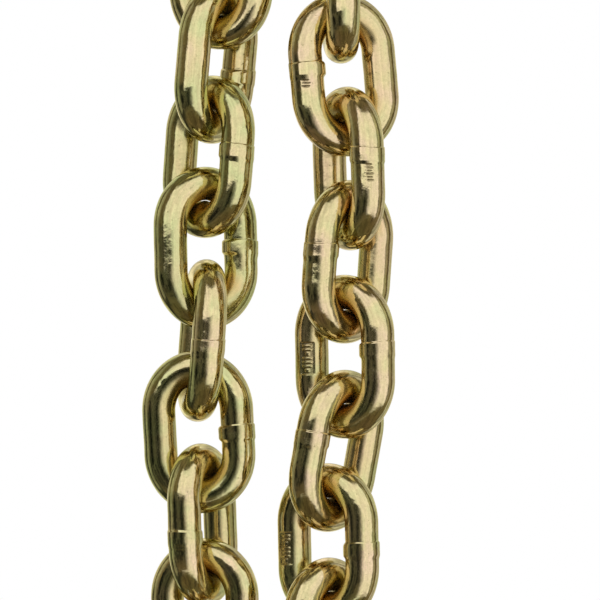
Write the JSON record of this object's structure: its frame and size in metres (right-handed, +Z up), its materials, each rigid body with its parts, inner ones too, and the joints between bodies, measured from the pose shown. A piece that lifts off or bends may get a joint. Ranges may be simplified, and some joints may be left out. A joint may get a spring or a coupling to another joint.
{
  "type": "load binder chain",
  "caption": "Gold-plated welded transport chain hanging in runs from a held top link, with a clevis grab hook, pin and cotter at its end; every link swings.",
  "frame": {"origin": "centre of the top link, which is held", "axes": "+Z up along the hanging runs, +X from the left run to the right run, +Y away from the viewer"},
  "size_m": [0.0784, 0.0478, 0.3659],
  "materials": {
    "yellow_zinc": "yellow chromate over zinc, semi-bright",
    "pin_steel": "bright zinc"
  },
  "bodies": {
    "link_top": {"link_top": "yellow_zinc"},
    "link_left_1": {"link_left_1": "yellow_zinc"},
    "link_left_2": {"link_left_2": "yellow_zinc"},
    "link_left_3": {"link_left_3": "yellow_zinc"},
    "link_left_4": {"link_left_4": "yellow_zinc"},
    "link_left_5": {"link_left_5": "yellow_zinc"},
    "link_left_6": {"link_left_6": "yellow_zinc"},
    "link_left_7": {"link_left_7": "yellow_zinc"},
    "link_left_8": {"link_left_8": "yellow_zinc"},
    "link_left_9": {"link_left_9": "yellow_zinc"},
    "link_right_1": {"link_right_1": "yellow_zinc"},
    "link_right_2": {"link_right_2": "yellow_zinc"},
    "link_right_3": {"link_right_3": "yellow_zinc"},
    "link_right_4": {"link_right_4": "yellow_zinc"},
    "link_right_5": {"link_right_5": "yellow_zinc"},
    "link_right_6": {"link_right_6": "yellow_zinc"},
    "link_right_7": {"link_right_7": "yellow_zinc"},
    "link_right_8": {"link_right_8": "yellow_zinc"},
    "link_right_9": {"link_right_9": "yellow_zinc"},
    "hook_left": {"hook_left": "yellow_zinc"},
    "clevis_pin": {"clevis_pin": "pin_steel", "cotter_pin": "pin_steel"}
  },
  "joints": [
    {"name": "link_left_1_swing", "type": "hinge", "parent": "link_top", "child": "link_left_1", "pos_m": [-0.01409, 0.00813, -0.01057], "axis": [0.4384, 0.8988, 0], "range_deg": [0, 75]},
    {"name": "link_left_2_swing", "type": "hinge", "parent": "link_left_1", "child": "link_left_2", "pos_m": [-0.01409, 0.00813, -0.03897], "axis": [0.816, -0.5736, -0.0714], "range_deg": [-75, 75]},
    {"name": "link_left_3_swing", "type": "hinge", "parent": "link_left_2", "child": "link_left_3", "pos_m": [-0.01643, 0.00869, -0.05666], "axis": [-0.816, 0.5736, 0.0714], "range_deg": [-75, 75]},
    {"name": "link_left_4_swing", "type": "hinge", "parent": "link_left_3", "child": "link_left_4", "pos_m": [-0.01914, 0.00869, -0.09537], "axis": [0.4694, -0.8829, 0.0082], "range_deg": [-75, 0]},
    {"name": "link_left_5_swing", "type": "hinge", "parent": "link_left_4", "child": "link_left_5", "pos_m": [-0.01831, 0.00803, -0.12288], "axis": [-0.9824, -0.1736, 0.0687], "range_deg": [-75, 75]},
    {"name": "link_left_6_swing", "type": "hinge", "parent": "link_left_5", "child": "link_left_6", "pos_m": [-0.02175, 0.00763, -0.13921], "axis": [0.9824, 0.1736, -0.0687], "range_deg": [-75, 75]},
    {"name": "link_left_7_swing", "type": "hinge", "parent": "link_left_6", "child": "link_left_7", "pos_m": [-0.01972, 0.00763, -0.17796], "axis": [-0.8982, 0.4384, -0.0314], "range_deg": [-75, 75]},
    {"name": "link_left_8_swing", "type": "hinge", "parent": "link_left_7", "child": "link_left_8", "pos_m": [-0.01914, 0.00764, -0.19535], "axis": [0.8982, -0.4384, 0.0314], "range_deg": [-75, 75]},
    {"name": "link_left_9_swing", "type": "hinge", "parent": "link_left_8", "child": "link_left_9", "pos_m": [-0.01846, 0.00764, -0.23414], "axis": [-1, 0, 0], "range_deg": [-60, 65]},
    {"name": "link_right_1_swing", "type": "hinge", "parent": "link_top", "child": "link_right_1", "pos_m": [0.01409, -0.00813, 0.01057], "axis": [0.1435, 0.9877, 0.0624], "range_deg": [-75, 0]},
    {"name": "link_right_2_swing", "type": "hinge", "parent": "link_right_1", "child": "link_right_2", "pos_m": [0.0256, -0.00585, -0.01501], "axis": [-0.9974, -0.0698, -0.0174], "range_deg": [-75, 0]},
    {"name": "link_right_3_swing", "type": "hinge", "parent": "link_right_2", "child": "link_right_3", "pos_m": [0.02088, -0.0062, -0.03269], "axis": [0.9974, 0.0698, 0.0174], "range_deg": [-45, 75]},
    {"name": "link_right_4_swing", "type": "hinge", "parent": "link_right_3", "child": "link_right_4", "pos_m": [0.02426, -0.0062, -0.07134], "axis": [-0.8824, -0.4695, -0.0308], "range_deg": [0, 75]},
    {"name": "link_right_5_swing", "type": "hinge", "parent": "link_right_4", "child": "link_right_5", "pos_m": [0.02476, -0.00645, -0.09925], "axis": [-0.7176, 0.6947, 0.0502], "range_deg": [-75, 75]},
    {"name": "link_right_6_swing", "type": "hinge", "parent": "link_right_5", "child": "link_right_6", "pos_m": [0.02259, -0.00552, -0.11649], "axis": [0.7176, -0.6947, -0.0502], "range_deg": [-75, 75]},
    {"name": "link_right_7_swing", "type": "hinge", "parent": "link_right_6", "child": "link_right_7", "pos_m": [0.02327, -0.00552, -0.15528], "axis": [0.7319, -0.6691, -0.129], "range_deg": [-75, 45]},
    {"name": "link_right_8_swing", "type": "hinge", "parent": "link_right_7", "child": "link_right_8", "pos_m": [0.01765, -0.00325, -0.17264], "axis": [-0.7319, 0.6691, 0.129], "range_deg": [-75, 20]},
    {"name": "link_right_9_swing", "type": "hinge", "parent": "link_right_8", "child": "link_right_9", "pos_m": [0.01832, -0.00325, -0.21144], "axis": [-0.7403, 0.6691, 0.0648], "range_deg": [-75, 75]},
    {"name": "hook_left_swing", "type": "hinge", "parent": "link_left_9", "child": "hook_left", "pos_m": [-0.01866, 0.00764, -0.25095], "axis": [1, 0, 0], "range_deg": [-90, 90]},
    {"name": "clevis_pin_spin", "type": "hinge", "parent": "hook_left", "child": "clevis_pin", "pos_m": [-0.01866, 0.00764, -0.25095], "axis": [1, 0, 0], "continuous": true}
  ]
}
